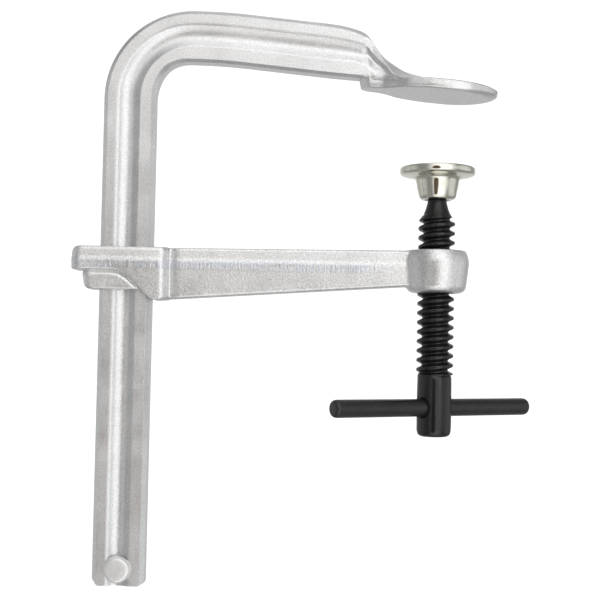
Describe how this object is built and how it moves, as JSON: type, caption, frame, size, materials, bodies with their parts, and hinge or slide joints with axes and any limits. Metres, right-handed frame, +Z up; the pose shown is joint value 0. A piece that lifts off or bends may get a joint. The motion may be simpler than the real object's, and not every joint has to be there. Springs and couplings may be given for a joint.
{
  "type": "f clamp",
  "caption": "All-steel F clamp: grooved rail bent into a fixed jaw, forged sliding arm, screw spindle with tommy bar and a swivelling pressure pad.",
  "frame": {"origin": "where the spindle axis meets the fixed jaw's clamping face", "axes": "+Z up the rail and the spindle axis towards the fixed jaw, +X from the rail towards the jaw's tip, -Y the front; Y = 0 is the rail's mid-plane"},
  "size_m": [0.1995, 0.058, 0.2436],
  "materials": {
    "rail_steel": "pale silver, satin, fine speckle",
    "arm_steel": "pale silver, satin forged skin",
    "rivet_steel": "bright, hammered head",
    "spindle_steel": "black oxide, satin",
    "bar_steel": "black oxide, satin",
    "pad_nickel": "bright nickel plate"
  },
  "bodies": {
    "rail": {"rail": "rail_steel", "stop_rivet": "rivet_steel"},
    "arm": {"sliding_arm": "arm_steel"},
    "screw_end": {"spindle_ball": "spindle_steel"},
    "spindle": {"spindle": "spindle_steel", "tommy_bar": "bar_steel"},
    "pad": {"pressure_pad": "pad_nickel"}
  },
  "joints": [
    {"name": "arm_slide", "type": "slide", "parent": "rail", "child": "arm", "axis": [0, 0, 1], "range_m": [-0.1104, 0.011]},
    {"name": "spindle_feed", "type": "slide", "parent": "arm", "child": "screw_end", "axis": [0, 0, 1], "range_m": [-0.02, 0.016]},
    {"name": "spindle_turn", "type": "hinge", "parent": "screw_end", "child": "spindle", "pos_m": [0, 0, -0.133], "axis": [0, 0, 1], "range_deg": [-1800, 1440]},
    {"name": "pad_tilt", "type": "hinge", "parent": "screw_end", "child": "pad", "pos_m": [0, 0, -0.039], "axis": [0, 1, 0], "range_deg": [-8, 8]}
  ],
  "couplings": [
    {"joint": "spindle_feed", "follows": "spindle_turn", "m_per_rad": 0.00063662}
  ]
}
